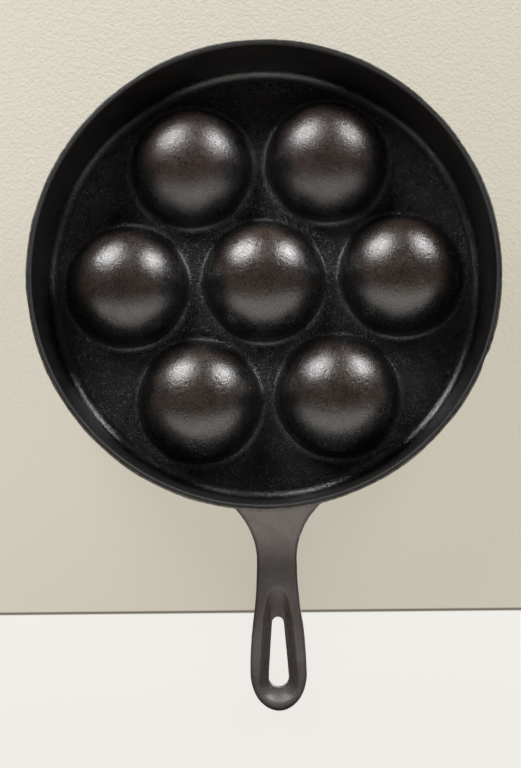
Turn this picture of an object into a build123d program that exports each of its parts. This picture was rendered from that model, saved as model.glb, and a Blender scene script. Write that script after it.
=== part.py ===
from build123d import *
from math import asin, cos, degrees, radians, sin, sqrt, tan
import os

# Aebleskiver pan: a cast iron pan with seven round cups, a skirt that it stands on and a long handle.
#
# It is one casting. Here it is cut along its own features into closed regions that meet face to face:
# skirt, lip, deck, seven cups, and the handle in three lengths. It sits as it does on the hob: cups
# open upwards (+Z), handle towards -Y, origin at the middle of the ring it stands on.
# Sizes are in millimetres and angles in degrees.

# Cups: half spheres whose centres lie on the cooking surface
cup_radius = 28.8  # inside
cup_wall = 3.2
cup_mouth_round = 1.5  # where the inside runs out into the cooking surface
cup_foot_fillet = 3.0  # where the dome meets the underside of the deck
cup_clearance = 4.0  # between the lowest point of a dome and the hob
cups_around = 6  # in the ring round the middle cup; each has its name where they are made

# Deck: the flat web between the cups
deck_thickness = 4.0
collar_margin = 0.6  # flat metal that a cup's collar has beyond its foot fillet
cup_web = 1.7  # narrowest deck between two collars
border_web = 1.9  # narrowest deck between an outer collar and the skirt

# Skirt: the wall below the deck
skirt_edge = 2.6  # width of the ring that it stands on
skirt_edge_round = 0.7
skirt_fillet = 5.0  # inside, where the wall meets the underside of the deck
skirt_draft = 3.0  # inside face
outer_draft = 1.3  # outside face, all the way up

# Lip: the raised edge round the cooking surface
lip_height = 7.0
lip_edge = 3.0  # width of its top
lip_round = 1.2
lip_fillet = 3.0  # inside, where it meets the cooking surface
lip_draft = 8.0
lip_seat = 0.5  # straight wall that the skirt keeps above that fillet

# Handle
handle_reach = 105.3  # from the skirt to the tip
handle_thickness = 10.0
handle_drop = 1.9  # its top at the wall, below the top of the lip
handle_rise = 4.0  # it climbs away from the pan
handle_skew = 1.5  # it stands askew to the rows of cups, turned about its own middle
handle_round = 3.2  # along its long edges
root_width = 40.8  # at the wall
neck_width = 20.9
grip_width = 29.2
flare_length = 27.5  # from the wall to the narrowest point
tip_stretch = 4.9  # the round end is longer than half a circle by this
fairing_length = 33.0  # the root thickens downwards over this length
fairing_drop = 9.0
root_overlap = 8.0  # the blank runs this far into the wall before it is cut to the wall
neck_start = 10.0  # the root ends this far before the narrowest point
loop_margin = 0.8  # plain metal that the loop has before its sunk field

# Hanging hole, a slot that widens towards the tip, in the floor of a sunk field with a rim round it
hole_length = 36.8
hole_inset = 11.0  # from its outer end to the tip of the handle
hole_start_share = 0.58  # radius of its inner end, as a share of its outer end's
hole_round = 0.8
field_rim = 4.2  # width of the rim beside the sunk field, at the widest point
field_end = 5.0  # rim beyond the field, at the tip
field_depth = 5.0
field_slope = 4.3  # how far its sides lean in from its edge to its floor
field_floor = 0.9  # floor beside the hole
field_ramp = 12.6  # it deepens over this length before its floor starts
field_lead = 4.2  # floor before the hole
shoulder_inset = 14.5  # from the start of the field to the middle of its shoulders
shoulder_share = 0.73  # radius of the shoulders, as a share of the field's round end
start_share = 0.47  # and that of its round start
field_round = 1.0

# Levels, upwards from the hob
dome_radius = cup_radius + cup_wall
deck_top = dome_radius + cup_clearance
deck_underside = deck_top - deck_thickness
lip_base = deck_top + lip_fillet + lip_seat
height = deck_top + lip_height

# Distances from the middle, outwards. The foot fillet touches the dome and the deck's underside.
foot_radius = sqrt((dome_radius + cup_foot_fillet) ** 2 - (deck_thickness + cup_foot_fillet) ** 2)
collar_radius = foot_radius + collar_margin
cup_pitch = 2 * collar_radius + cup_web
deck_radius = cup_pitch + collar_radius + border_web
wall_foot = deck_radius + skirt_fillet
skirt_inner = wall_foot + deck_underside * tan(radians(skirt_draft))
skirt_radius = skirt_inner + skirt_edge


def outer_radius(z):
    """Radius of the outside of the wall at a height above the hob."""
    return skirt_radius + z * tan(radians(outer_draft))


def lip_inner_radius(z):
    """Radius of the inside of the lip at a height above the hob."""
    return outer_radius(height) - lip_edge - (height - z) * tan(radians(lip_draft))


# Along the handle: y runs outwards from its middle, x across it, z up through it
handle_end = handle_reach / 2
end_length = grip_width / 2 + tip_stretch
neck_y = flare_length - handle_end
grip_y = handle_end - end_length
hole_end_y = handle_end - hole_inset
hole_start_y = hole_end_y - hole_length
floor_end_y = hole_end_y + field_floor
floor_start_y = hole_start_y - field_lead
field_end_y = handle_end - field_end
field_start_y = floor_start_y - field_ramp
field_end_radius = grip_width / 2 - field_rim
floor_end_radius = field_end_radius - field_slope
hole_end_radius = floor_end_radius - field_floor
hole_start_radius = hole_end_radius * hole_start_share
root_cut_y = neck_y - neck_start
loop_cut_y = field_start_y - field_round - loop_margin

top_at_middle = height - handle_drop + handle_end * tan(radians(handle_rise))
handle_middle = Vector(
    0,
    -skirt_radius - handle_end,
    top_at_middle - handle_thickness / 2 / cos(radians(handle_rise)),
)
handle_plane = Plane(
    origin=handle_middle,
    x_dir=(-1, 0, 0),
    z_dir=(0, sin(radians(handle_rise)), cos(radians(handle_rise))),
).rotated((0, 0, handle_skew))
handle_side = Plane(
    origin=handle_middle,
    x_dir=handle_plane.y_dir,
    z_dir=handle_plane.x_dir,
)


def nearest(corners, point):
    """The corner of a sketch that lies nearest to a point of it."""
    return corners.sort_by_distance(Vector(*point))[0]


def write(name, node):
    """Label a finished region and write it to its own file."""
    node.part.label = name
    export_step(node.part, f"parts/{name}.step")


def make_cup(x, y):
    """One cup with its collar, centred over a point of the deck."""
    axis_plane = Plane(origin=(x, y, 0), x_dir=(1, 0, 0), z_dir=(0, -1, 0))
    dome_arc = 90 - degrees(asin(deck_thickness / dome_radius))
    with BuildPart() as cup:
        with BuildSketch(axis_plane) as section:
            with BuildLine():
                hollow = CenterArc((0, deck_top), cup_radius, 270, 90)
                top = Line(hollow @ 1, (collar_radius, deck_top))
                rim = Line(top @ 1, (collar_radius, deck_underside))
                dome = CenterArc((0, deck_top), dome_radius, 270, dome_arc)
                Line(rim @ 1, dome @ 1)
                Line(dome @ 0, hollow @ 0)
            make_face()
            fillet(nearest(section.vertices(), dome @ 1), cup_foot_fillet)
            fillet(nearest(section.vertices(), hollow @ 1), cup_mouth_round)
        revolve(axis=Axis((x, y, 0), (0, 0, 1)))
    return cup


def is_upright(face, axis):
    """Whether a face runs along an axis, as the sides of an extrusion do."""
    return abs(face.normal_at().dot(axis.direction)) < 1e-3


def across_handle(y):
    """The plane that cuts squarely across the handle at a place along it."""
    return Plane(origin=handle_plane.from_local_coords((0, y, 0)), z_dir=handle_plane.y_dir)


def slot_outline(*places):
    """Edges round circles on the handle's middle line, each given by its y and its radius."""
    leans = [degrees(asin((b[1] - a[1]) / (b[0] - a[0]))) for a, b in zip(places, places[1:])]
    turns = [-90, *(-lean for lean in leans), 90]
    with BuildLine() as outline:
        bend = None
        for (y, radius), start, end in zip(places, turns, turns[1:]):
            before, bend = bend, CenterArc((0, y), radius, start, end - start)
            if before:
                Line(before @ 1, bend @ 0)
        mirror(about=Plane.YZ)
    return outline.edges()


os.makedirs("parts", exist_ok=True)

# Skirt: from the ring on the hob up to the foot of the lip, with the outermost strip of the deck
with BuildPart() as skirt:
    with BuildSketch(Plane.XZ) as skirt_section:
        with BuildLine():
            Polyline(
                (skirt_inner, 0),
                (skirt_radius, 0),
                (outer_radius(lip_base), lip_base),
                (lip_inner_radius(lip_base), lip_base),
                (lip_inner_radius(deck_top), deck_top),
                (deck_radius, deck_top),
                (deck_radius, deck_underside),
                (wall_foot, deck_underside),
                close=True,
            )
        make_face()
        fillet(nearest(skirt_section.vertices(), (wall_foot, deck_underside)), skirt_fillet)
        fillet(nearest(skirt_section.vertices(), (lip_inner_radius(deck_top), deck_top)), lip_fillet)
        fillet(skirt_section.vertices().group_by(Axis.Y)[0], skirt_edge_round)
    revolve(axis=Axis.Z)
write("skirt", skirt)

# Lip: the ring above the skirt
with BuildPart() as lip:
    with BuildSketch(Plane.XZ) as lip_section:
        with BuildLine():
            Polyline(
                (lip_inner_radius(lip_base), lip_base),
                (outer_radius(lip_base), lip_base),
                (outer_radius(height), height),
                (lip_inner_radius(height), height),
                close=True,
            )
        make_face()
        fillet(lip_section.vertices().group_by(Axis.Y)[-1], lip_round)
    revolve(axis=Axis.Z)
write("lip", lip)

# Deck: a disc with a round seat for each cup's collar
with BuildPart() as deck:
    with BuildSketch(Plane.XY.offset(deck_underside)):
        Circle(deck_radius)
        Circle(collar_radius, mode=Mode.SUBTRACT)
        with PolarLocations(cup_pitch, cups_around):
            Circle(collar_radius, mode=Mode.SUBTRACT)
    extrude(amount=deck_thickness)
write("deck", deck)

# Cups: one in the middle and a ring of them, the first towards +X, with the handle as the front
write("cup_centre", make_cup(0, 0))
ring_names = ["right", "back_right", "back_left", "left", "front_left", "front_right"]
for name, place in zip(ring_names, PolarLocations(cup_pitch, cups_around).local_locations):
    write(f"cup_{name}", make_cup(place.position.X, place.position.Y))

# Handle blank: its outline from above, cut to its outline from the side and rounded
half = handle_thickness / 2
beyond = handle_end + root_overlap
upright = Axis(handle_middle, handle_plane.z_dir)
crosswise = Axis(handle_middle, handle_plane.x_dir)
with BuildPart() as handle:
    with BuildSketch(handle_plane):
        with BuildLine():
            neck_point = (neck_width / 2, neck_y)
            grip_point = (grip_width / 2, grip_y)
            turn_point = ((neck_width + grip_width) / 4, (neck_y + grip_y) / 2)
            flare = TangentArc(neck_point, (root_width / 2, -handle_end), tangent=(0, -1))
            foot = Line(flare @ 1, flare @ 1 + (flare % 1) * root_overlap)
            Line(foot @ 1, (0, (foot @ 1).Y))
            hollow_side = TangentArc(neck_point, turn_point, tangent=(0, 1))
            TangentArc(turn_point, grip_point, tangent=hollow_side % 1)
            EllipticalCenterArc((0, grip_y), grip_width / 2, end_length, start_angle=0, arc_size=90)
            mirror(about=Plane.YZ)
        make_face()
    extrude(amount=beyond, both=True)
    with BuildSketch(handle_side):
        with BuildLine():
            fairing_start = (fairing_length - handle_end, -half)
            top_line = Line((-beyond, half), (beyond, half))
            Polyline(top_line @ 1, (beyond, -half), fairing_start)
            fairing = TangentArc(fairing_start, (-handle_end, -half - fairing_drop), tangent=(-1, 0))
            fairing_foot = Line(fairing @ 1, fairing @ 1 + (fairing % 1) * root_overlap)
            Polyline(fairing_foot @ 1, (-beyond, (fairing_foot @ 1).Y), top_line @ 0)
        make_face()
    extrude(amount=root_width, both=True, mode=Mode.INTERSECT)
    sides = handle.faces().filter_by(lambda face: is_upright(face, upright))
    rims = sides.edges().filter_by(upright, reverse=True).filter_by(crosswise, reverse=True)
    fillet(rims, handle_round)

    # Sunk field in the underside, then the hole through its floor. Each is drawn round circles.
    start_radius = field_end_radius * start_share
    shoulder_y = field_start_y + shoulder_inset
    floor_radius = hole_start_radius + field_floor
    floor_y = floor_start_y + floor_radius
    with BuildSketch(handle_plane.offset(-half)):
        start = (field_start_y + start_radius, start_radius)
        shoulder = (shoulder_y, field_end_radius * shoulder_share)
        make_face(slot_outline(start, shoulder, (field_end_y - field_end_radius, field_end_radius)))
    with BuildSketch(handle_plane.offset(field_depth - half)):
        make_face(slot_outline((floor_y, floor_radius), (floor_end_y - floor_end_radius, floor_end_radius)))
    loft(mode=Mode.SUBTRACT)
    with BuildSketch(handle_plane):
        start = (hole_start_y + hole_start_radius, hole_start_radius)
        make_face(slot_outline(start, (hole_end_y - hole_end_radius, hole_end_radius)))
    extrude(amount=handle_thickness, both=True, mode=Mode.SUBTRACT)
    levels = handle.faces().filter_by(handle_plane).sort_by(upright)
    fillet(levels[0].inner_wires().edges(), field_round)
    fillet(levels[1].inner_wires().edges() + levels[-1].inner_wires().edges(), hole_round)

    # The wall's own slope, so that the root seats on it
    with BuildSketch(Plane.XZ):
        with BuildLine():
            Polyline((0, 0), (skirt_radius, 0), (outer_radius(beyond), beyond), (0, beyond), close=True)
        make_face()
    revolve(axis=Axis.Z, mode=Mode.SUBTRACT)

# Its three lengths
root_cut = across_handle(root_cut_y)
loop_cut = across_handle(loop_cut_y)
with BuildPart() as handle_root:
    add(handle.part)
    split(bisect_by=root_cut, keep=Keep.BOTTOM)
write("handle_root", handle_root)

with BuildPart() as handle_neck:
    add(handle.part)
    split(bisect_by=root_cut, keep=Keep.TOP)
    split(bisect_by=loop_cut, keep=Keep.BOTTOM)
write("handle_neck", handle_neck)

with BuildPart() as hanging_loop:
    add(handle.part)
    split(bisect_by=loop_cut, keep=Keep.TOP)
write("hanging_loop", hanging_loop)
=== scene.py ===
import math
from itertools import product

import bmesh
import bpy
import numpy as np
from mathutils import Matrix, Vector
from mathutils.geometry import delaunay_2d_cdt


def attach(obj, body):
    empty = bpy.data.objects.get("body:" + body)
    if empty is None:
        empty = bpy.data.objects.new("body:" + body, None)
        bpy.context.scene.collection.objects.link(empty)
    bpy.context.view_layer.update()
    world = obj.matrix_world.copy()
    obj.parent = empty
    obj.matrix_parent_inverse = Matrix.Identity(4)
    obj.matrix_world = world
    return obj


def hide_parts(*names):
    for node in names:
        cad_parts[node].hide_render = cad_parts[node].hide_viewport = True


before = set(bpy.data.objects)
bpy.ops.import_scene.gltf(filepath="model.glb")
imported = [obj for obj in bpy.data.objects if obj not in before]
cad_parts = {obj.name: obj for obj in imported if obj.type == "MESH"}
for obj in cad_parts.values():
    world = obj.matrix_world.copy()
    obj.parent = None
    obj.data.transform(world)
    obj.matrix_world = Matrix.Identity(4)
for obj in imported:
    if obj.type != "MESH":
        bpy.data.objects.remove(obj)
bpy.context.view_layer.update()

# Looks of the aebleskiver pan. Sizes here are in millimetres, as in the part, and MM turns them into
# metres where a mesh is made. "Under" is the side that faces the hob, "over" the side for cooking.
MM = 0.001

# The part's own sizes
CUP_RADIUS = 28.8
DOME_RADIUS = 32.0
CUP_MOUTH_ROUND = 1.5
CUP_FOOT_FILLET = 3.0
DECK_TOP = 36.0
DECK_UNDER = 32.0
COLLAR_RADIUS = 34.8931
CUP_PITCH = 71.4862
DECK_RADIUS = 108.2793
WALL_FOOT = 113.2793
SKIRT_INNER = 114.9563
SKIRT_RADIUS = 117.5563
SKIRT_FILLET = 5.0
SKIRT_EDGE_ROUND = 0.7
OUTER_SLOPE = math.tan(math.radians(1.3))
LIP_SLOPE = math.tan(math.radians(8.0))
LIP_BASE = 39.5
LIP_EDGE = 3.0
LIP_ROUND = 1.2
LIP_FILLET = 3.0
HEIGHT = 43.0

# How finely the meshes are cut
RING_STEPS = 780  # round the pan
CUP_STEPS = 336  # round a cup
STEP = 0.75  # along a profile
FINE_STEP = 0.3  # along a small rounding
TIGHT_ROUNDING = 2.0  # a rounding is small below this radius
DOME_STEP = 0.5  # down a dome
FOOT_STEP = 0.4  # along the fillet at its foot
DECK_STEP = 1.25  # between points of the deck
DECK_MARGIN = 0.6  # between those points and the deck's outlines
SAME_POINT = 0.02  # points of a profile nearer than this are one
HANDLE_VOXEL = 0.5

# Camera: it looks at the underside, a little up along the pan. Its place is in metres, in the pan's
# frame, and its lens and sensor are in millimetres.
CAMERA_PLACE = (-0.004285, -0.092782, -0.462097)
CAMERA_AIM = (0.01675, 0.07877, 0.99675)
CAMERA_UP = (-0.04242, 0.99605, -0.07800)
CAMERA_LENS = 44.55
SENSOR_WIDTH = 36.0
NEAREST_SEEN = 0.01  # in metres


def outer_radius(z):
    return SKIRT_RADIUS + z * OUTER_SLOPE


def lip_inner_radius(z):
    return outer_radius(HEIGHT) - LIP_EDGE - (HEIGHT - z) * LIP_SLOPE


def from_axis(points, centre=(0.0, 0.0)):
    """How far each point lies from an upright line through a centre."""
    return np.linalg.norm(points[:, :2] - centre, axis=1)


# ---- Profiles: lists of (radius, height) ----


def arc(centre, radius, start, end, step=STEP):
    """Points of a circle from one angle to another, in degrees."""
    count = max(4, round(abs(math.radians(end - start)) * radius / step))
    angles = np.radians(np.linspace(start, end, count + 1))
    return [(centre[0] + radius * math.cos(a), centre[1] + radius * math.sin(a)) for a in angles]


def line(start, end):
    """Points of a straight line."""
    count = max(1, round(math.dist(start, end) / STEP))
    return [
        (start[0] + (end[0] - start[0]) * k / count, start[1] + (end[1] - start[1]) * k / count)
        for k in range(count + 1)
    ]


def corner(before, at, after, radius, step):
    """Points of the arc that rounds a corner of a profile."""
    a = np.subtract(before, at) / math.dist(before, at)
    b = np.subtract(after, at) / math.dist(after, at)
    half = math.acos(np.clip(a @ b, -1, 1)) / 2
    middle = (a + b) / np.linalg.norm(a + b)
    centre = np.array(at) + middle * radius / math.sin(half)
    start = np.array(at) + a * radius / math.tan(half) - centre
    end = np.array(at) + b * radius / math.tan(half) - centre
    first = math.degrees(math.atan2(start[1], start[0]))
    turn = math.degrees(math.atan2(end[1], end[0])) - first
    turn = (turn + 180) % 360 - 180
    return arc(centre, radius, first, first + turn, step)


def chain(*runs):
    """One profile from several runs of points, each starting where the last one ended."""
    points = []
    for run in runs:
        for point in run:
            if not points or math.dist(points[-1], point) > SAME_POINT:
                points.append((float(point[0]), float(point[1])))
    return points


def rounded(corners):
    """A profile through (radius, height, rounding) corners. The ends have no rounding."""
    runs, last = [], corners[0][:2]
    for before, at, after in zip(corners, corners[1:], corners[2:]):
        step = min(FINE_STEP, at[2] / 3) if at[2] < TIGHT_ROUNDING else STEP
        bend = corner(before[:2], at[:2], after[:2], at[2], step)
        runs += [line(last, bend[0]), bend]
        last = bend[-1]
    runs.append(line(last, corners[-1][:2]))
    return chain(*runs)


def cup_profiles():
    """The inside of a cup from its bottom out to the collar, and its outside from the collar in."""
    mouth_r = math.sqrt((CUP_RADIUS + CUP_MOUTH_ROUND) ** 2 - CUP_MOUTH_ROUND**2)
    mouth = (mouth_r, DECK_TOP - CUP_MOUTH_ROUND)
    mouth_turn = math.degrees(math.asin(CUP_MOUTH_ROUND / (CUP_RADIUS + CUP_MOUTH_ROUND)))
    inside = chain(
        arc((0, DECK_TOP), CUP_RADIUS, 270, 360 - mouth_turn),
        arc(mouth, CUP_MOUTH_ROUND, 180 - mouth_turn, 90, FINE_STEP),
        line((mouth_r, DECK_TOP), (COLLAR_RADIUS, DECK_TOP)),
    )
    drop = DECK_TOP - DECK_UNDER + CUP_FOOT_FILLET
    foot_r = math.sqrt((DOME_RADIUS + CUP_FOOT_FILLET) ** 2 - drop**2)
    foot = (foot_r, DECK_UNDER - CUP_FOOT_FILLET)
    foot_turn = math.degrees(math.asin(drop / (DOME_RADIUS + CUP_FOOT_FILLET)))
    outside = chain(
        line((COLLAR_RADIUS, DECK_UNDER), (foot_r, DECK_UNDER)),
        arc(foot, CUP_FOOT_FILLET, 90, 180 - foot_turn, FOOT_STEP),
        arc((0, DECK_TOP), DOME_RADIUS, 360 - foot_turn, 270, DOME_STEP),
    )
    return inside, outside


def skirt_profiles():
    """The wall from the deck's underside round the standing ring to the lip, and the strip over it."""
    under = rounded(
        [
            (DECK_RADIUS, DECK_UNDER, 0),
            (WALL_FOOT, DECK_UNDER, SKIRT_FILLET),
            (SKIRT_INNER, 0, SKIRT_EDGE_ROUND),
            (SKIRT_RADIUS, 0, SKIRT_EDGE_ROUND),
            (outer_radius(LIP_BASE), LIP_BASE, 0),
        ]
    )
    over = rounded(
        [
            (lip_inner_radius(LIP_BASE), LIP_BASE, 0),
            (lip_inner_radius(DECK_TOP), DECK_TOP, LIP_FILLET),
            (DECK_RADIUS, DECK_TOP, 0),
        ]
    )
    return under, over


def lip_profile():
    return rounded(
        [
            (outer_radius(LIP_BASE), LIP_BASE, 0),
            (outer_radius(HEIGHT), HEIGHT, LIP_ROUND),
            (lip_inner_radius(HEIGHT), HEIGHT, LIP_ROUND),
            (lip_inner_radius(LIP_BASE), LIP_BASE, 0),
        ]
    )


# ---- Casting texture: how far the surface lies off the plain shape, in millimetres ----

# Whole numbers that scatter the noise's values over its cells
CELL_FACTORS = (374761393, 668265263, 1440662683)
SEED_FACTOR = 974634777
MIX_FACTOR = 1274126177
LOW_32_BITS = 0xFFFFFFFF
LOW_16_BITS = 0xFFFF

# Depth and size of the waves of cast iron, from slow ones to a fine orange peel
CASTING_WAVES = ((0.10, 14.0), (0.05, 5.0), (0.03, 2.2))


def lumps(points, size, seed):
    """Smooth noise from -1 to 1 with bumps about one size across."""
    p = points / size
    cell = np.floor(p).astype(np.int64)
    f = p - cell
    w = f * f * f * (f * (f * 6 - 15) + 10)
    total = np.zeros(len(points))
    for step in product((0, 1), repeat=3):
        h = ((cell + step) @ np.array(CELL_FACTORS) + seed * SEED_FACTOR) & LOW_32_BITS
        h = ((h ^ (h >> 13)) * MIX_FACTOR) & LOW_32_BITS
        value = ((h ^ (h >> 16)) & LOW_16_BITS) / (LOW_16_BITS / 2) - 1
        total += np.prod(np.where(np.array(step) == 1, w, 1 - w), axis=1) * value
    return total


def casting(points):
    """Unevenness of cast iron."""
    waves = enumerate(CASTING_WAVES, 1)
    return sum(depth * lumps(points, size, seed) for seed, (depth, size) in waves)


def fade(x, low, high):
    """0 below low and 1 above high, smooth between."""
    t = np.clip((x - low) / (high - low), 0, 1)
    return t * t * (3 - 2 * t)


# ---- Meshes ----


def profile_normals(profile):
    """Unit normals of a profile, on its left as it runs."""
    p = np.array(profile)
    along = np.gradient(p, axis=0)
    along[0], along[-1] = p[1] - p[0], p[-1] - p[-2]
    along /= np.linalg.norm(along, axis=1)[:, None]
    return np.stack([-along[:, 1], along[:, 0]], axis=1)


def ring_angles(steps):
    return np.arange(steps) * 2 * math.pi / steps


def spin(pairs, steps):
    """Pairs of (radius, height) turned about the Z axis, as one long list of points."""
    turn = ring_angles(steps)
    x, y = np.outer(pairs[:, 0], np.cos(turn)), np.outer(pairs[:, 0], np.sin(turn))
    return np.stack([x, y, np.repeat(pairs[:, 1:], steps, 1)], -1).reshape(-1, 3)


def strips(first, second):
    """Quads between two closed rings of vertex numbers."""
    a, b = np.array(first), np.array(second)
    return np.stack([a, np.roll(a, -1), np.roll(b, -1), b], 1).tolist()


class Shell:
    """Points, normals, faces and seams of a mesh while it is being put together."""

    def __init__(self):
        self.points, self.normals, self.faces, self.seams = [], [], [], []
        self.count = 0

    def add_surface(self, profile, steps, side):
        """Adds a turned profile and returns the vertex rings at its two ends. side is 1 or -1."""
        self.points.append(spin(np.array(profile), steps))
        self.normals.append(spin(profile_normals(profile) * side, steps))
        rings = [np.arange(steps) + self.count + k * steps for k in range(len(profile))]
        self.count += len(profile) * steps
        for a, b in zip(rings, rings[1:]):
            self.faces += strips(a, b) if side < 0 else strips(b, a)
        return rings[0], rings[-1]

    def add_cap(self, first, second):
        """Closes the shell between two rings, where it meets its neighbour."""
        self.faces += strips(first, second)
        self.seams += [first, second]

    def arrays(self):
        return np.concatenate(self.points), np.concatenate(self.normals)


def make_object(name, points, faces, seams=(), values=None):
    """A mesh object in the pan's frame. Seams are vertex rings at which the shading breaks."""
    mesh = bpy.data.meshes.new(name)
    mesh.from_pydata((points * MM).tolist(), [], faces)
    mesh.validate()
    ring_of = np.full(len(points), -1)
    for number, ring in enumerate(seams):
        ring_of[ring] = number
    ends = np.zeros(len(mesh.edges) * 2, np.int32)
    mesh.edges.foreach_get("vertices", ends)
    first, second = ring_of[ends.reshape(-1, 2)].T
    sharp = (first >= 0) & (first == second)
    mesh.attributes.new("sharp_edge", "BOOLEAN", "EDGE").data.foreach_set("value", sharp)
    mesh.polygons.foreach_set("use_smooth", np.ones(len(mesh.polygons), bool))
    for key, value in (values or {}).items():
        mesh.attributes.new(key, "FLOAT", "POINT").data.foreach_set("value", value.astype(np.float32))
    obj = bpy.data.objects.new(name, mesh)
    bpy.context.scene.collection.objects.link(obj)
    return obj


def second_finish(obj, material, key):
    """Gives another material to the faces of a piece on which one of its values is over a half."""
    mesh = obj.data
    values = np.zeros(len(mesh.vertices), np.float32)
    mesh.attributes[key].data.foreach_get("value", values)
    corners = np.zeros(len(mesh.loops), np.int32)
    mesh.loops.foreach_get("vertex_index", corners)
    starts = np.zeros(len(mesh.polygons), np.int32)
    mesh.polygons.foreach_get("loop_start", starts)
    mesh.materials.append(material)
    mesh.polygons.foreach_set("material_index", (values[corners[starts]] > 0.5).astype(np.int32))


def weld_poles(points, faces):
    """Merges the points that lie in one place, so that the ends of a turned shape close."""
    keys = np.round(points, 4)
    _, first, back = np.unique(keys, axis=0, return_index=True, return_inverse=True)
    back = back.ravel()
    kept = []
    for face in faces:
        loop = [back[v] for v in face]
        loop = [v for k, v in enumerate(loop) if v != loop[k - 1]]
        if len(loop) > 2:
            kept.append(loop)
    return first, back, kept


# ---- Skirt and lip ----

BARE_HEIGHTS = (0.5, 1.8)  # the bare edge that the pan stands on ends between these
WORN_RADII = (SKIRT_RADIUS - 0.9, SKIRT_RADIUS - 0.4)  # its grey strip starts between these
INNER_RADII = (SKIRT_INNER + 0.2, SKIRT_INNER + 0.9)  # its dull strip ends between these
OUTER_RADII = (SKIRT_RADIUS - 0.8, SKIRT_RADIUS)  # the outside of the wall starts between these
FILLET_HEIGHTS = (DECK_UNDER - 6, DECK_UNDER - 3)  # the fillet at the deck starts between these
LIP_TOP_HEIGHTS = (HEIGHT - 1.6, HEIGHT - 0.3)  # and the chipped top of the lip between these
OUTER_ROUGHER = 0.8  # the outside of the wall is this much more uneven than the rest
INNER_CALMER = 0.75  # and the inside this much less uneven
INNER_SKIN = 0.6  # depth below the inside of the wall at which that stops
CALM_HEIGHTS = (DECK_UNDER - 2, DECK_UNDER)  # the calm inside ends between these
RING_CHIPS = 0.12  # depth of the chips of the standing ring
RING_CHIP_SIZES = (3.2, 1.6)
LIP_CHIPS = 0.15  # depth of those of the lip
LIP_CHIP_SIZE = 3.0
DENT_TOWARDS = (-0.91, -0.42)
DENT_WIDTH = 4.0
DENT_DEPTH = 0.9
DENT_HEIGHTS = (1, 5)  # the dent of the standing ring ends between these


def ring_wear(points):
    """0 to 1, how much a place belongs to the bare edge that the pan stands on."""
    return 1 - fade(points[:, 2], *BARE_HEIGHTS)


def ring_chips(points):
    """Relief of the chips of the standing ring, large and small."""
    large, small = RING_CHIP_SIZES
    spots = lumps(points, large, 11) * 0.6 + lumps(points, small, 12) * 0.5
    return -RING_CHIPS * fade(spots, 0.1, 0.9)


def dent(points):
    """Relief of the one dent in the outer edge of the standing ring."""
    towards = np.array(DENT_TOWARDS) / np.linalg.norm(DENT_TOWARDS)
    across = points[:, 0] * towards[1] - points[:, 1] * towards[0]
    facing = points[:, :2] @ towards > 0
    outside = fade(from_axis(points), SKIRT_INNER + INNER_SKIN, SKIRT_RADIUS)
    deep = DENT_DEPTH * np.exp(-((across / DENT_WIDTH) ** 2))
    return -deep * facing * outside * (1 - fade(points[:, 2], *DENT_HEIGHTS))


def skirt_relief(points):
    """Casting texture of the wall, calm inside and rough outside, and the damage of its ring."""
    radius = from_axis(points)
    inside = 1 - fade(radius, SKIRT_INNER, SKIRT_INNER + INNER_SKIN)
    calm = 1 - INNER_CALMER * inside * (1 - fade(points[:, 2], *CALM_HEIGHTS))
    rougher = 1 + OUTER_ROUGHER * fade(radius, *OUTER_RADII)
    return casting(points) * calm * rougher + ring_wear(points) * ring_chips(points) + dent(points)


def skirt_values(points, over_start):
    """What the shader reads at each point. The cooking side starts at a point's number."""
    radius, height = from_axis(points), points[:, 2]
    edge = ring_wear(points)
    by_deck = (radius < WALL_FOOT) * (height < DECK_UNDER + 1)
    return {
        "edge": edge,
        "outer": fade(radius, *OUTER_RADII),
        "over": (np.arange(len(points)) >= over_start).astype(float),
        "worn": edge * fade(radius, *WORN_RADII),
        "fillet": fade(height, *FILLET_HEIGHTS) * by_deck,
        "inner": edge * (1 - fade(radius, *INNER_RADII)),
    }


def make_skirt():
    under, over = skirt_profiles()
    shell = Shell()
    a0, a1 = shell.add_surface(under, RING_STEPS, -1)
    b0, b1 = shell.add_surface(over, RING_STEPS, -1)
    shell.add_cap(a1, b0)
    shell.add_cap(b1, a0)
    points, normals = shell.arrays()
    moved = points + normals * skirt_relief(points)[:, None]
    return make_object("pan_skirt", moved, shell.faces, shell.seams, skirt_values(points, b0[0]))


def make_lip():
    shell = Shell()
    a, b = shell.add_surface(lip_profile(), RING_STEPS, -1)
    shell.add_cap(b, a)
    points, normals = shell.arrays()
    top = fade(points[:, 2], *LIP_TOP_HEIGHTS)
    outer = fade(from_axis(points), *OUTER_RADII)
    chips = -LIP_CHIPS * fade(lumps(points, LIP_CHIP_SIZE, 13), 0.2, 0.9)
    relief = casting(points) * (1 + OUTER_ROUGHER * outer) + chips * top
    moved = points + normals * relief[:, None]
    return make_object("pan_lip", moved, shell.faces, shell.seams, {"edge": top, "outer": outer})


# ---- Cups and deck ----

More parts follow.
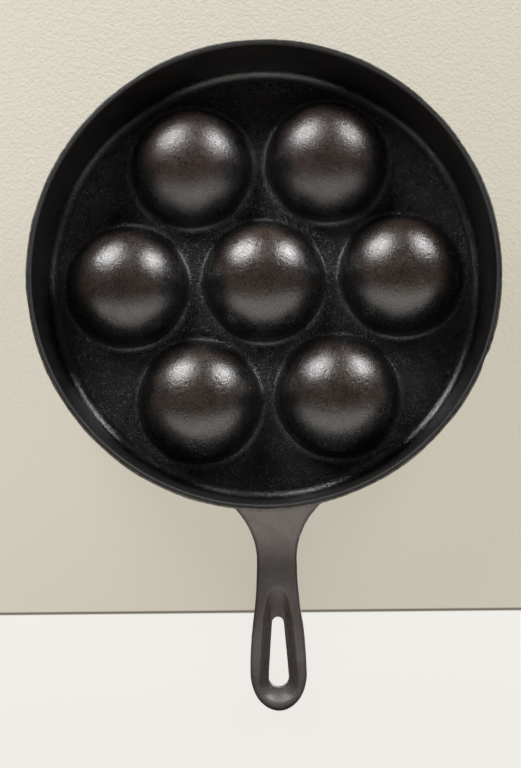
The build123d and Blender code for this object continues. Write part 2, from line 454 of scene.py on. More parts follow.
CUP_NODES = (
    "cup_centre", "cup_right", "cup_back_right", "cup_back_left", "cup_left", "cup_front_left",
    "cup_front_right",
)
DULLNESS = (0.0, 0.05, 0.3, 0.3, 0.05, 0.1, 0.05)  # how dull each dome is, in the same order
CROWN_SHADE_REACH = (17.5, 26.5)  # a dome's brown crown turns black between these distances, partly the flanks' own black seasoning and partly painted shade, from a point this far off its middle towards the lamps, so that the painted shade reaches farthest in on the side away from them
CROWN_SHADE_SHIFT = (0, 4.2)  # from a point this far off its middle
CROWN_SHADE_WAVER = (2.5, 7.0)  # the crown's outline strays by this much, in waves of this size
FOOT_HEIGHTS = (25.0, 30.0)  # between these a dome turns dull towards the deck
COLLAR_START = (31.2, 32.6)  # from here out a cup has the finish of the deck
COLLAR_JOIN = 2.0  # over this width its relief turns into the deck's
GRAIN_GLINT_REACH = (44.0, 66.0)  # the deck's grey grains, partly real grain and partly painted glints, are stronger inside this distance from the middle, as a painted pool of lit grain
PATCH_REACH = (9.0, 19.0)  # the rough patch round a dome's bottom ends between these
PATCH_WAVER = (4.0, 9.0)  # its outline strays in the same way
PATCH_WAVES = ((0.012, 1.5), (0.010, 3.4))  # depth and size of the patch's own waves
CUP_CASTING = 0.3  # cups are this much as uneven as the rest
PITS = 70  # small casting pits on a dome
PIT_REACH = 22.0
PIT_WIDTH = 0.35  # of the narrowest
PIT_WIDER = 0.5  # how much wider the widest is
PIT_DEPTH = 0.03  # of the shallowest
PIT_DEEPER = 0.10  # how much deeper the deepest is
CUP_SEED = 100  # of the first cup
CUP_SEED_STEP = 10


def pits(points, centre, chance):
    """Relief of small casting pits scattered over one dome."""
    relief = np.zeros(len(points))
    for _ in range(PITS):
        reach = PIT_REACH * math.sqrt(chance.random())
        turn = chance.random() * 2 * math.pi
        width = PIT_WIDTH + PIT_WIDER * chance.random() ** 2
        depth = PIT_DEPTH + PIT_DEEPER * chance.random()
        place = centre + (reach * math.cos(turn), reach * math.sin(turn))
        relief -= depth * np.exp(-((from_axis(points, place) / width) ** 2))
    return relief


def cup_relief(points, centre, seed):
    """Relief of one cup, with the rough and pitted patch round the bottom of its dome."""
    away = from_axis(points, centre) + PATCH_WAVER[0] * lumps(points, PATCH_WAVER[1], seed)
    from_middle = np.linalg.norm(points - (*centre, DECK_TOP), axis=1)
    dome = (points[:, 2] < DECK_UNDER) * (from_middle > (CUP_RADIUS + DOME_RADIUS) / 2)
    patch = (1 - fade(away, *PATCH_REACH)) * dome
    relief = casting(points) * CUP_CASTING
    for number, (depth, size) in enumerate(PATCH_WAVES, 1):
        relief += patch * depth * lumps(points, size, seed + number)
    relief += pits(points, centre, np.random.default_rng(seed)) * dome
    joined = fade(from_axis(points, centre), COLLAR_RADIUS - COLLAR_JOIN, COLLAR_RADIUS)
    return relief + (casting(points) - relief) * joined, patch


def make_cup(name, centre, seed, dullness):
    inside, outside = cup_profiles()
    shell = Shell()
    a0, a1 = shell.add_surface(inside, CUP_STEPS, 1)
    b0, b1 = shell.add_surface(outside, CUP_STEPS, 1)
    shell.add_cap(b0, a1)
    points, normals = shell.arrays()
    points[:, :2] += centre
    relief, patch = cup_relief(points, centre, seed)
    over = np.repeat([1.0, 0.0], [len(inside) * CUP_STEPS, len(outside) * CUP_STEPS])
    collar = fade(from_axis(points, centre), *COLLAR_START)
    waver = CROWN_SHADE_WAVER[0] * lumps(points, CROWN_SHADE_WAVER[1], seed + 4)
    off = from_axis(points, centre + CROWN_SHADE_SHIFT) + waver
    values = {
        "rough": patch,
        "over": over,
        "collar": collar,
        "middle": 1 - fade(from_axis(points), *GRAIN_GLINT_REACH),
        "dull": np.full(len(points), dullness),
        "foot": fade(points[:, 2], *FOOT_HEIGHTS) * (1 - collar),
        "top": over * collar,
        # 1 on the brown crown, 0 on the black flanks, which are partly painted shade
        "crown": 1 - fade(off, *CROWN_SHADE_REACH),
    }
    moved = points + normals * relief[:, None]
    for pole in (a0, b1):
        moved[pole] = moved[pole].mean(0)
    first, back, faces = weld_poles(moved, shell.faces)
    values = {key: value[first] for key, value in values.items()}
    seams = [back[ring] for ring in shell.seams]
    return make_object(name, moved[first], faces, seams, values)


def ring_points(centre, radius, steps):
    turn = ring_angles(steps)
    return np.stack([centre[0] + radius * np.cos(turn), centre[1] + radius * np.sin(turn)], 1)


def cup_centres():
    """Centres of the cups in the order of CUP_NODES: the middle one, then the six from +X round."""
    return np.concatenate([[[0.0, 0.0]], ring_points((0, 0), CUP_PITCH, 6)])


def deck_grid():
    """Points of an even grid of triangles that fills the deck between its outlines."""
    rows = np.arange(-DECK_RADIUS, DECK_RADIUS, DECK_STEP * math.sqrt(3) / 2)
    grid = []
    for k, y in enumerate(rows):
        x = np.arange(-DECK_RADIUS, DECK_RADIUS, DECK_STEP) + (k % 2) * DECK_STEP / 2
        grid.append(np.stack([x, np.full(len(x), y)], 1))
    grid = np.concatenate(grid)
    keep = from_axis(grid) < DECK_RADIUS - DECK_MARGIN
    for centre in cup_centres():
        keep &= from_axis(grid, centre) > COLLAR_RADIUS + DECK_MARGIN
    return grid[keep]


def deck_sheet():
    """The deck seen from above: its points, its triangles and the vertex rings of its outlines."""
    rings = [ring_points((0, 0), DECK_RADIUS, RING_STEPS)]
    rings += [ring_points(centre, COLLAR_RADIUS, CUP_STEPS) for centre in cup_centres()]
    loops, start = [], 0
    for ring in rings:
        loops.append(np.arange(len(ring)) + start)
        start += len(ring)
    edges = [edge for loop in loops for edge in np.stack([loop, np.roll(loop, -1)], 1).tolist()]
    flat = [Vector(p) for p in np.concatenate(rings + [deck_grid()])]
    out = delaunay_2d_cdt(flat, edges, [], 0, 1e-6)
    points, faces = np.array([tuple(p) for p in out[0]]), [list(f) for f in out[2]]
    middle = np.array([points[f].mean(0) for f in faces])
    wanted = from_axis(middle) < DECK_RADIUS
    for centre in cup_centres():
        wanted &= from_axis(middle, centre) > COLLAR_RADIUS * math.cos(math.pi / CUP_STEPS)
    return points, [f for f, w in zip(faces, wanted) if w], loops


def make_deck():
    """The flat web between the cups, with both faces and the walls where it meets its neighbours."""
    flat, faces, loops = deck_sheet()
    count = len(flat)
    over = np.column_stack([flat, np.full(count, DECK_TOP)])
    under = np.column_stack([flat, np.full(count, DECK_UNDER)])
    points = np.concatenate([over, under])
    points[:, 2] += casting(points) * np.repeat([1.0, -1.0], count)
    all_faces = faces + [[v + count for v in reversed(f)] for f in faces]
    seams = []
    for k, loop in enumerate(loops):
        top, low = loop, loop + count
        all_faces += strips(low, top) if k == 0 else strips(top, low)
        seams += [top, low]
    # more painted glints on the grain near the middle of the pan
    middle = 1 - fade(from_axis(points), *GRAIN_GLINT_REACH)
    values = {"over": np.repeat([1.0, 0.0], count), "middle": middle}
    return make_object("pan_deck", points, all_faces, seams, values)


# ---- Handle ----

HANDLE_NODES = ("handle_root", "handle_neck", "hanging_loop")
SMOOTHING = (0.5, 8)  # strength and rounds of it, after the handle is cut into cells
ROOT_FILLET = 1.5  # cast fillet where the handle leaves the wall
ROOT_NEAREST = 0.3  # it flares no more than it does at this distance from the wall
ROOT_SEAT = 0.35  # nearer than this it flares along the wall
ROOT_BURIED = 1.3  # how far the handle's end runs on into the wall, so that no groove shows
PALE_ROOT = (-150.0, -128.0)  # y over which the handle turns paler towards the wall
PALE_TIP = (208.0, 217.0)  # and towards its tip, as a distance along -Y
TIP_SHARE = 0.8  # the tip gets this share of the paleness at the wall
BAND_MIDDLE = -147.0  # a darker band crosses the handle here
BAND_REACH = 11.0
BAND_DARKNESS = 0.5
HOLE_X = 0.3
SUNK_HALF_WIDTH = 9.0
SUNK_START = -158.0
SUNK_END = -214.0
SCOOP = (203.0, 206.0)  # beyond the hole the field is rough all over; a distance along -Y
DARK_REACH = (1.0, 16.0)  # its sides stop being black between these distances from the wall
CALM_REACH = (0.0, 3.0)  # and the casting's unevenness starts between these

# A normal's Z tells the handle's sides apart: it is -1 underneath and 1 on top
UPPER_NORMALS = (-0.2, 0.4)
DARK_NORMALS = (-0.75, -0.1)
STEEP_NORMALS = (-0.93, -0.75)  # minus the size of Z, on the slopes of the sunk field
END_FACING = (0.0, 0.6)  # not of Z, but of how squarely the handle's end faces the pan's axis


def handle_cells():
    """The handle's three lengths as one closed mesh of even cells, in millimetres."""
    joined = bmesh.new()
    for node in HANDLE_NODES:
        joined.from_mesh(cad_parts[node].data)
    bmesh.ops.scale(joined, vec=(1 / MM, 1 / MM, 1 / MM), verts=joined.verts)
    mesh = bpy.data.meshes.new("handle_source")
    joined.to_mesh(mesh)
    joined.free()
    obj = bpy.data.objects.new("handle_source", mesh)
    bpy.context.scene.collection.objects.link(obj)
    remesh = obj.modifiers.new("cells", "REMESH")
    remesh.mode = "VOXEL"
    remesh.voxel_size = HANDLE_VOXEL
    smooth = obj.modifiers.new("soft", "SMOOTH")
    smooth.factor, smooth.iterations = SMOOTHING
    depsgraph = bpy.context.evaluated_depsgraph_get()
    result = bpy.data.meshes.new_from_object(obj.evaluated_get(depsgraph))
    bpy.data.objects.remove(obj)
    return result


def vectors(items, key):
    """A vector of each of a mesh's vertices, as rows."""
    flat = np.zeros(len(items) * 3)
    items.foreach_get(key, flat)
    return flat.reshape(-1, 3)


def join_to_wall(points, normals, gap):
    """The handle's points, flared beside the wall as a cast fillet is, with its end run into it."""
    outwards = points / from_axis(points)[:, None] * (1, 1, 0)
    facing = (normals * outwards).sum(1)
    sideways = normals - facing[:, None] * outwards
    near = np.clip(ROOT_FILLET - np.clip(gap, ROOT_NEAREST, None), 0, None)
    flare = ROOT_FILLET - np.sqrt(ROOT_FILLET**2 - near**2)
    points = points + np.where(gap[:, None] < ROOT_SEAT, sideways, normals) * flare[:, None]
    buried = ROOT_BURIED * fade(-facing, *END_FACING) * (gap < ROOT_FILLET)
    return points - outwards * buried[:, None]


def handle_values(points, normals, gap):
    """What the shader reads at each point of the handle."""
    along, upwards = points[:, 1], normals[:, 2]
    field = (along < SUNK_START) * (along > SUNK_END)
    field = field * (np.abs(points[:, 0] - HOLE_X) < SUNK_HALF_WIDTH)
    steep = fade(-np.abs(upwards), *STEEP_NORMALS)
    upper = fade(upwards, *UPPER_NORMALS)
    pale_ends = np.maximum(fade(along, *PALE_ROOT), TIP_SHARE * fade(-along, *PALE_TIP))
    return {
        "pale_ends": pale_ends * (1 - upper),
        "plain": 1 - BAND_DARKNESS * np.exp(-(((along - BAND_MIDDLE) / BAND_REACH) ** 2)),
        "upper": upper,
        "joined": (1 - fade(gap, *DARK_REACH)) * fade(upwards, *DARK_NORMALS),
        "sunk": field * np.maximum(steep, fade(-along, *SCOOP)),
    }


def make_handle():
    mesh = handle_cells()
    points, normals = vectors(mesh.vertices, "co"), vectors(mesh.vertices, "normal")
    faces = [list(p.vertices) for p in mesh.polygons]
    gap = from_axis(points) - outer_radius(points[:, 2])
    points = join_to_wall(points, normals, gap)
    points = points + normals * casting(points)[:, None] * fade(gap, *CALM_REACH)[:, None]
    return make_object("pan_handle", points, faces, (), handle_values(points, normals, gap))


# ---- Materials ----


class Nodes:
    """Short calls for the nodes of one material."""

    def __init__(self, name):
        self.material = bpy.data.materials.new(name)
        self.material.use_nodes = True
        self.tree = self.material.node_tree
        self.tree.nodes.clear()
        self.out = self.tree.nodes.new("ShaderNodeOutputMaterial")
        self.place = self.tree.nodes.new("ShaderNodeTexCoord").outputs["Object"]

    def put(self, socket, value):
        if isinstance(value, bpy.types.NodeSocket):
            self.tree.links.new(value, socket)
        elif value is not None:
            socket.default_value = value

    def make(self, kind, inputs=None, **settings):
        node = self.tree.nodes.new(kind)
        for key, value in settings.items():
            setattr(node, key, value)
        for key, value in (inputs or {}).items():
            self.put(node.inputs[key], value)
        return node

    def noise(self, size, detail=3.0, rough=0.55, lift=None):
        """Noise from 0 to 1 with features about one size across, in millimetres. Another lift
        gives another pattern."""
        place = self.place
        if lift is not None:
            place = self.make("ShaderNodeVectorMath", {0: place, 1: lift}).outputs[0]
        inputs = {"Vector": place, "Scale": 1 / (size * MM), "Detail": detail, "Roughness": rough}
        return self.make("ShaderNodeTexNoise", inputs).outputs[0]

    def grains(self, size):
        """Distance to the nearest of many scattered points, for pits and grains."""
        node = self.make("ShaderNodeTexVoronoi", {"Vector": self.place, "Scale": 1 / (size * MM)})
        return node.outputs["Distance"]

    def ramp(self, value, low, high, to_low=0.0, to_high=1.0):
        """A value that runs smoothly from one number to another while the given one rises."""
        node = self.make("ShaderNodeMapRange", {0: value, 1: low, 2: high, 3: to_low, 4: to_high})
        node.interpolation_type = "SMOOTHSTEP"
        return node.outputs[0]

    def between(self, share, pair):
        """The first number of a pair where a share is 0, and the second where it is 1."""
        return self.ramp(share, 0, 1, *pair)

    def math(self, kind, a, b=None):
        return self.make("ShaderNodeMath", {0: a, 1: b}, operation=kind).outputs[0]

    def times(self, a, b):
        return self.math("MULTIPLY", a, b)

    def plus_values(self, total, shares):
        """A number with shares of the values stored on the piece added."""
        for name, share in shares.items():
            total = self.math("ADD", total, self.times(self.attribute(name), share))
        return total

    def mix(self, factor, a, b):
        node = self.make("ShaderNodeMix", data_type="RGBA")
        self.put(node.inputs[0], factor)
        self.put(node.inputs[6], a)
        self.put(node.inputs[7], b)
        return node.outputs[2]

    def attribute(self, name):
        """A value stored on the piece, from 0 to 1."""
        return self.make("ShaderNodeAttribute", attribute_name=name).outputs["Fac"]

    def bump(self, height, depth, normal=None):
        """Bump from a height of 0 to 1 that stands for a depth in millimetres."""
        linked = isinstance(depth, bpy.types.NodeSocket)
        distance = self.times(depth, MM) if linked else depth * MM
        inputs = {"Height": height, "Distance": distance, "Strength": 1.0, "Normal": normal}
        return self.make("ShaderNodeBump", inputs).outputs["Normal"]


def colour(red, green, blue):
    """A colour given as it looks on screen, from 0 to 255."""

    def linear(value):
        return ((value / 255 + 0.055) / 1.055) ** 2.4 if value > 10 else value / 255 / 12.92

    return (linear(red), linear(green), linear(blue), 1.0)


BLACK = colour(11, 10, 10)
GREY_GRAIN_AND_GLINT = colour(128, 125, 121)
COOKED = colour(17, 15, 14)
WARM_BLACK = colour(19, 14, 13)
OLIVE_BROWN = colour(45, 35, 25)
RED_BROWN = colour(52, 37, 33)
DARK_BROWN = colour(34, 24, 20)
RUST = colour(82, 60, 48)
OLIVE = colour(62, 52, 38)
BRIGHT_SPECK = colour(104, 90, 78)
HANDLE_GREY = colour(92, 88, 85)
HANDLE_PALE = colour(114, 108, 104)
HANDLE_BROWN = colour(76, 68, 64)
SUNK_BROWN = colour(63, 53, 50)
BARE = colour(28, 24, 22)
WORN = colour(98, 94, 84)

# How strongly each finish reflects
DECK_IOR = 1.36
CUP_IOR = 1.72
WALL_IOR = 1.7
HANDLE_IOR = 1.6

# Least and greatest roughness of each finish, between which it drifts, and how much rougher it is
# where a value of the piece is 1
DECK_ROUGH = (0.24, 0.38)
CUP_ROUGH = (0.21, 0.29)
WALL_ROUGH = (0.34, 0.42)
HANDLE_ROUGH = (0.38, 0.50)
CUP_ROUGHER = {"dull": 0.09, "foot": 0.25}
WALL_ROUGHER = {"fillet": -0.12, "inner": 0.5, "outer": 0.18}

# Depths of the bumps, in millimetres. The first of a pair is the usual one, and the second is for
# the deck's cooking side, the wall's outside, the wall's fillet or the handle's sunk field
DECK_PEBBLES = (0.3, 0.1)
DECK_GRAIN = (0.6, 0.08)
CUP_WAVES = 0.06
CUP_WAVES_MORE = {"dull": 0.05, "rough": 0.05}
CUP_GRAIN = 0.09
CUP_GRAIN_MORE = {"dull": 0.12, "collar": 0.14}
WALL_WAVES = (0.06, 0.3)
WALL_GRAIN = (0.08, 0.2)
HANDLE_WAVES = 0.13
HANDLE_GRAIN = (0.08, 0.32)

BROWN_TURN = (-0.03, 0.06)  # the domes turn from olive to red brown between these y, in metres


def finish_iron(n, base, roughness, normal, ior):
    inputs = {"Base Color": base, "Roughness": roughness, "Normal": normal, "IOR": ior}
    shader = n.make("ShaderNodeBsdfPrincipled", inputs)
    n.put(n.out.inputs["Surface"], shader.outputs[0])
    return n.material


def grain_and_glint_black(n):
    """Black with grey grains, partly the casting's own and partly painted glints; more of them near the
    middle of the pan, where they paint light falling on the deck, and on its underside.
    """
    tint = n.mix(n.ramp(n.noise(26, 4), 0.35, 0.7), BLACK, WARM_BLACK)
    # painted glints: the grey grains are stronger near the middle of the pan, where light falls on the
    # deck
    strength = n.plus_values(0.4, {"middle": 0.4})
    strength = n.times(strength, n.ramp(n.noise(7, 3, 0.6, (0.2, 0.6, 0.1)), 0.38, 0.6, 0.15, 1.0))
    strength = n.times(strength, n.between(n.attribute("over"), (1.0, 0.1)))
    return n.mix(n.times(n.ramp(n.noise(0.7, 1), 0.58, 0.65), strength), tint, GREY_GRAIN_AND_GLINT)


def deck_iron():
    """Black seasoned iron with the grain of its casting sand and painted glints on that grain, smoother
    on the cooking side.
    """
    n = Nodes("deck_iron")
    over = n.attribute("over")
    tint = grain_and_glint_black(n)
    rough = n.ramp(n.noise(9, 4), 0.3, 0.7, *DECK_ROUGH)
    pebbles = n.bump(n.noise(1.4, 1), n.between(over, DECK_PEBBLES))
    fine = n.bump(n.noise(0.6, 1), n.between(over, DECK_GRAIN), pebbles)
    return finish_iron(n, tint, rough, fine, DECK_IOR)


def rust_share(n):
    """How rusty a dome is: in clouds of small spots, more of them on its rough patch."""
    clouds = n.ramp(n.noise(13, 3, 0.6, (0.3, 0.1, 0.2)), 0.42, 0.62)
    spots = n.ramp(n.noise(1.1, 3), 0.48, 0.66)
    return n.times(n.times(clouds, spots), n.plus_values(0.35, {"rough": 0.45}))


def dome_tint(n):
    """Brown crown with rust, black grains and bright specks; black farther out, which is partly the
    flanks' own seasoning and partly painted shade.
    """
    along = n.make("ShaderNodeSeparateXYZ", {0: n.place}).outputs[1]
    brown = n.mix(n.ramp(along, *BROWN_TURN), OLIVE_BROWN, RED_BROWN)
    tint = n.mix(n.ramp(n.noise(15, 5, 0.6), 0.35, 0.65), DARK_BROWN, brown)
    rust = n.mix(n.ramp(n.noise(45, 1, 0.5, (0.4, 0.2, 0.1)), 0.42, 0.58), OLIVE, RUST)
    tint = n.mix(rust_share(n), tint, rust)
    tint = n.mix(n.ramp(n.grains(1.3), 0.10, 0.34, 0.75, 0.0), tint, BLACK)
    tint = n.mix(n.ramp(n.noise(0.6, 1), 0.36, 0.46, 0.7, 0.0), tint, BLACK)
    specks = n.ramp(n.noise(0.55, 1, 0.5, (0.5, 0.3, 0.4)), 0.60, 0.68, 0.0, 0.35)
    tint = n.mix(specks, tint, BRIGHT_SPECK)
    # painted shade, partly real black seasoning: the flanks outside the crown turn black, more so on
    # the side away from the lamps
    return n.mix(n.attribute("crown"), BLACK, tint)


def cup_iron():
    """Cups: brown domes with black flanks that are partly painted shade, plain seasoned iron inside,
    and the deck's grain and painted glints on the collar.
    """
    n = Nodes("cup_iron")
    tint = n.mix(n.attribute("over"), dome_tint(n), COOKED)
    tint = n.mix(n.attribute("collar"), tint, grain_and_glint_black(n))
    rough = n.ramp(n.noise(5, 4), 0.3, 0.7, *CUP_ROUGH)
    rough = n.plus_values(rough, CUP_ROUGHER)
    rough = n.math("ADD", rough, n.ramp(n.noise(0.75, 1), 0.5, 0.62, 0.0, 0.15))
    broad = n.bump(n.noise(0.95, 1), n.plus_values(CUP_WAVES, CUP_WAVES_MORE))
    fine = n.bump(n.noise(0.5, 1), n.plus_values(CUP_GRAIN, CUP_GRAIN_MORE), broad)
    return finish_iron(n, tint, rough, fine, CUP_IOR)


def wall_iron():
    """Skirt and lip: black, with the ring that the pan stands on worn to a grey grain."""
    n = Nodes("wall_iron")
    outer = n.attribute("outer")
    tint = n.mix(outer, COOKED, DARK_BROWN)
    tint = n.mix(n.ramp(n.noise(22, 5, 0.6), 0.35, 0.65), BLACK, tint)
    bare = n.times(n.attribute("edge"), n.ramp(n.noise(1.0, 3, 0.6), 0.42, 0.64))
    tint = n.mix(bare, tint, BARE)
    worn = n.times(n.attribute("worn"), n.ramp(n.noise(2.5, 3, 0.6), 0.3, 0.6))
    tint = n.mix(worn, tint, WORN)
    rough = n.ramp(n.noise(7, 4), 0.3, 0.7, *WALL_ROUGH)
    rough = n.plus_values(rough, WALL_ROUGHER)
    broad = n.bump(n.noise(1.2, 3, 0.6), n.between(outer, WALL_WAVES))
    fine = n.bump(n.noise(0.6, 1), n.between(n.attribute("fillet"), WALL_GRAIN), broad)
    return finish_iron(n, tint, rough, fine, WALL_IOR)


def handle_iron():
    """Handle: grey-brown, paler underneath towards the wall and the tip, browner and rougher in the
    sunk field, darker on top and at the wall.
    """
    n = Nodes("handle_iron")
    sunk = n.attribute("sunk")
    tint = n.mix(n.ramp(n.noise(18, 5, 0.6), 0.38, 0.62), HANDLE_GREY, HANDLE_BROWN)
    tint = n.mix(n.attribute("pale_ends"), tint, HANDLE_PALE)
    clouds = n.ramp(n.noise(8, 4, 0.6, (0.1, 0.3, 0.7)), 0.42, 0.62, 0.0, 0.35)
    tint = n.mix(clouds, tint, HANDLE_BROWN)
    tint = n.mix(n.attribute("plain"), SUNK_BROWN, tint)
    tint = n.mix(n.times(sunk, 0.6), tint, SUNK_BROWN)
    tint = n.mix(n.times(n.attribute("upper"), 0.5), tint, COOKED)
    tint = n.mix(n.attribute("joined"), tint, BLACK)
    tint = n.mix(n.ramp(n.noise(0.65, 2), 0.5, 0.7, 0.0, 0.4), tint, DARK_BROWN)
    specks = n.times(sunk, n.ramp(n.noise(0.8, 1), 0.56, 0.64, 0.0, 0.6))
    tint = n.mix(specks, tint, HANDLE_PALE)
    rough = n.ramp(n.noise(6, 4), 0.3, 0.7, *HANDLE_ROUGH)
    broad = n.bump(n.noise(1.3, 3, 0.6), HANDLE_WAVES)
    fine = n.bump(n.noise(0.6, 1), n.between(sunk, HANDLE_GRAIN), broad)
    return finish_iron(n, tint, rough, fine, HANDLE_IOR)


# ---- Stage, in metres ----

WALL_COLOUR = colour(219, 213, 198)
WALL_SHADE = colour(207, 201, 184)
TABLE_COLOUR = colour(243, 241, 236)
CORNER_SHADOW_COLOUR = colour(124, 116, 103)
FLOOR_COLOUR = colour(226, 224, 219)
FLOOR_HALF = 8.0
FLOOR_REACH = (0.3, 1.5)  # distances from the pan's middle
FLOOR_GLOW = (0.6, 1.0)  # the floor's own share of its brightness at those distances
BACKDROP_HALF = 2.5
BACKDROP_HEIGHT = 0.0495
BACKDROP_GLOW = (0.92, 0.75)  # the same share on the table and on the wall
TABLE_LINE = -0.17374  # where the table meets the wall, at x = 0
TABLE_TILT = 0.0284
TABLE_BLUR = 0.0002  # the paint changes over this much on each side of that line
GLOW_BLUR = 0.001  # and the glow over this much
CORNER_SHADOW_MIDDLE = TABLE_LINE + 0.0003
CORNER_SHADOW_REACH = (0.0003, 0.0011)  # the painted shadow in the corner where the table meets the wall ends between these distances from its middle
SHADE_REACH = 0.30  # painted shade: the wall darkens, as the lamps' light falls off, from this far on one side of the pan to the other
PEEL_SIZE = 1.8  # size of the wall's orange peel, in millimetres
PEEL_DEPTH = 1.6  # and its depth
PEEL_TOP = 0.08  # from this y on it is at its deepest
WORLD_LIGHT = 0.065

# Lamps that shine at the pan: the direction that each stands in, its size and its power in watts.
# A lamp is round if its second size is 0
PAN_LAMPS = {
    "window_left": ((0.47, 0.80, -0.365), (0.84, 0), 21.0),
    "window_right": ((-0.641, 0.705, -0.305), (0.66, 0), 16.0),
    "overhead": ((-0.15, -0.1, 0.98), (1.2, 1.2), 16.0),
}
PAN_LAMP_DISTANCE = 1.3
# Lamps that shine along the pan from the table's side: place, size, power and tint
TABLE_LAMPS = {
    "table_near": ((0, -0.32, -0.25), (1.6, 0.5), 4.1, (1.0, 0.95, 0.9)),
    "table_far": ((0, -0.49, -0.77), (1.6, 0.6), 0.7, (1, 1, 1)),
}
TABLE_LAMP_AIM = (0, 0.951, -0.309)
TABLE_LAMP_UP = (0, 0.309, 0.951)


def one_sided(name, tint, own_light, relief=None):
    """A sheet that only the camera sees, and only from its front. Part of its brightness is its own."""
    n = Nodes(name)
    paint = tint(n) if callable(tint) else tint
    matt = n.make("ShaderNodeBsdfDiffuse", {"Color": paint, "Normal": relief(n) if relief else None})
    glow = n.make("ShaderNodeEmission", {"Color": paint, "Strength": 1.0})
    both = n.make("ShaderNodeMixShader", {0: own_light(n), 1: matt.outputs[0], 2: glow.outputs[0]})
    clear = n.make("ShaderNodeBsdfTransparent")
    camera = n.make("ShaderNodeLightPath").outputs["Is Camera Ray"]
    front = n.math("SUBTRACT", 1.0, n.make("ShaderNodeNewGeometry").outputs["Backfacing"])
    seen = n.times(camera, front)
    mix = n.make("ShaderNodeMixShader", {0: seen, 1: clear.outputs[0], 2: both.outputs[0]})
    n.put(n.out.inputs["Surface"], mix.outputs[0])
    return n.material


def floor_glow(n):
    """More of the floor's brightness is its own far from the pan, where the lamps no longer reach."""
    away = n.make("ShaderNodeVectorMath", {0: n.place}, operation="LENGTH").outputs["Value"]
    return n.ramp(away, *FLOOR_REACH, *FLOOR_GLOW)


def above_table(n):
    """A point's place on the backdrop, and its Y counted along the tilt of the table's edge."""
    x, y, _ = n.make("ShaderNodeSeparateXYZ", {0: n.place}).outputs
    return x, y, n.math("SUBTRACT", y, n.times(x, TABLE_TILT))


def backdrop_glow(n):
    """How much of the backdrop's brightness is its own: more on the table than on the wall."""
    _, _, level = above_table(n)
    return n.ramp(level, TABLE_LINE - GLOW_BLUR, TABLE_LINE + GLOW_BLUR, *BACKDROP_GLOW)


def wall_relief(n):
    """The wall's orange peel, fading downwards; the table is smooth."""
    _, _, level = above_table(n)
    return n.bump(n.noise(PEEL_SIZE, 2), n.ramp(level, TABLE_LINE, PEEL_TOP, 0.0, PEEL_DEPTH))


def wall_and_table(n):
    """The wall's paint above the line where the table meets it, with painted shade across it, and the
    table's below, with a painted shadow in the corner between them.
    """
    x, y, level = above_table(n)
    # painted shade: the wall is darker towards -X and -Y, where less light falls
    shade = n.math("ADD", n.times(x, -1.0), n.times(y, -1.0))
    wall = n.mix(n.ramp(shade, -SHADE_REACH, SHADE_REACH), WALL_COLOUR, WALL_SHADE)
    # painted shadow: a thin dark line in the corner where the table meets the wall
    off_corner_shadow = n.math("ABSOLUTE", n.math("SUBTRACT", level, CORNER_SHADOW_MIDDLE))
    corner_shadow = n.ramp(off_corner_shadow, *CORNER_SHADOW_REACH, 1.0, 0.0)
    on_wall = n.ramp(level, TABLE_LINE - TABLE_BLUR, TABLE_LINE + TABLE_BLUR)
    both = n.mix(on_wall, TABLE_COLOUR, wall)
    return n.mix(corner_shadow, both, CORNER_SHADOW_COLOUR)


def sheet(name, height, half, material, faces_up):
    """A level square sheet of the stage, seen from above or from below."""
    corners = [(-half, -half), (half, -half), (half, half), (-half, half)]
    points = np.array([(x, y, height) for x, y in corners])
    face = [0, 1, 2, 3] if faces_up else [3, 2, 1, 0]
    obj = make_object(name, points / MM, [face])
    obj.data.materials.append(material)


def aim(obj, place, towards, up):
    """Puts a lamp or the camera at a place, looking towards a direction."""
    back = -Vector(towards).normalized()
    right = Vector(up).cross(back).normalized()
    turn = Matrix((right, back.cross(right), back)).transposed()
    obj.matrix_world = Matrix.Translation(Vector(place)) @ turn.to_4x4()


def lamp(name, size, power, tint=(1, 1, 1)):
    """A soft lamp that the camera doesn't see."""
    data = bpy.data.lights.new(name, "AREA")
    data.shape = "RECTANGLE" if size[1] else "DISK"
    data.size, data.size_y = size
    data.energy = power
    data.color = tint
    obj = bpy.data.objects.new(name, data)
    bpy.context.scene.collection.objects.link(obj)
    obj.visible_camera = False
    return obj


def background(tree, tint, strength):
    node = tree.nodes.new("ShaderNodeBackground")
    node.inputs["Color"].default_value = tint
    node.inputs["Strength"].default_value = strength
    return node.outputs[0]


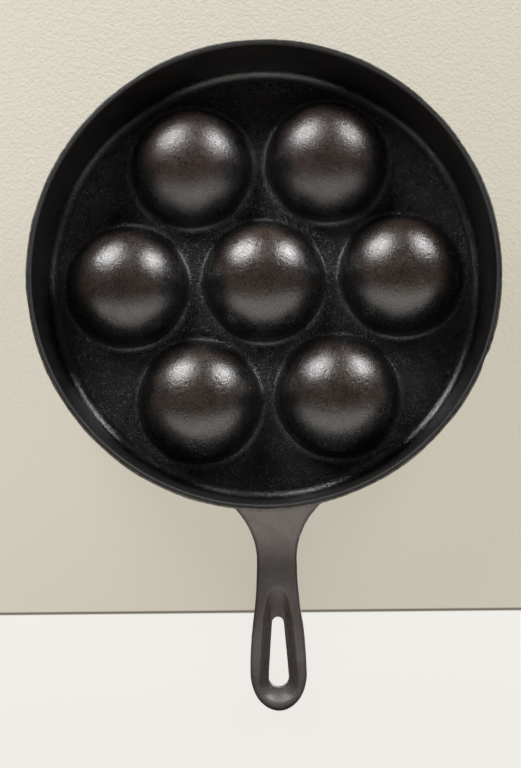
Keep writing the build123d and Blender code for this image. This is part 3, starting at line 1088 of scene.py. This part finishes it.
def set_world():
    """A weak even light, which the camera sees as a pale background."""
    world = bpy.data.worlds.new("studio")
    world.use_nodes = True
    tree = world.node_tree
    tree.nodes.clear()
    out = tree.nodes.new("ShaderNodeOutputWorld")
    path = tree.nodes.new("ShaderNodeLightPath")
    mix = tree.nodes.new("ShaderNodeMixShader")
    tree.links.new(path.outputs["Is Camera Ray"], mix.inputs[0])
    tree.links.new(background(tree, (1, 1, 1, 1), WORLD_LIGHT), mix.inputs[1])
    tree.links.new(background(tree, FLOOR_COLOUR, 1.0), mix.inputs[2])
    tree.links.new(mix.outputs[0], out.inputs[0])
    bpy.context.scene.world = world


def set_stage():
    floor = one_sided("floor_paint", FLOOR_COLOUR, floor_glow)
    backdrop = one_sided("backdrop_paint", wall_and_table, backdrop_glow, wall_relief)
    sheet("floor", 0.0, FLOOR_HALF, floor, True)
    sheet("backdrop", BACKDROP_HEIGHT, BACKDROP_HALF, backdrop, False)
    for name, (direction, size, power) in PAN_LAMPS.items():
        direction = Vector(direction).normalized()
        aim(lamp(name, size, power), direction * PAN_LAMP_DISTANCE, -direction, (0, 1, 0))
    for name, (place, size, power, tint) in TABLE_LAMPS.items():
        aim(lamp(name, size, power, tint), place, TABLE_LAMP_AIM, TABLE_LAMP_UP)
    set_world()


def set_camera():
    data = bpy.data.cameras.new("camera")
    data.sensor_width = SENSOR_WIDTH
    data.lens = CAMERA_LENS
    data.clip_start = NEAREST_SEEN
    camera = bpy.data.objects.new("camera", data)
    bpy.context.scene.collection.objects.link(camera)
    aim(camera, CAMERA_PLACE, CAMERA_AIM, CAMERA_UP)
    bpy.context.scene.camera = camera


# ---- The pan on its stage ----


def dress(obj, material, slot, *nodes):
    """Gives a piece its finish and puts it in place of the regions it stands for."""
    obj.data.materials.append(material)
    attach(obj, "root")
    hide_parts(*nodes)


bpy.context.scene.view_settings.view_transform = "Standard"
set_camera()
set_stage()
wall, deck, cup, handle = wall_iron(), deck_iron(), cup_iron(), handle_iron()
skirt = make_skirt()
dress(skirt, wall, "wall_iron", "skirt")
second_finish(skirt, deck, "over")
dress(make_lip(), wall, "wall_iron", "lip")
dress(make_deck(), deck, "deck_iron", "deck")
for number, (node, centre) in enumerate(zip(CUP_NODES, cup_centres())):
    seed = CUP_SEED + CUP_SEED_STEP * number
    piece = make_cup(node.replace("cup_", "pan_cup_"), centre, seed, DULLNESS[number])
    dress(piece, cup, "cup_iron", node)
    second_finish(piece, deck, "top")
dress(make_handle(), handle, "handle_iron", *HANDLE_NODES)
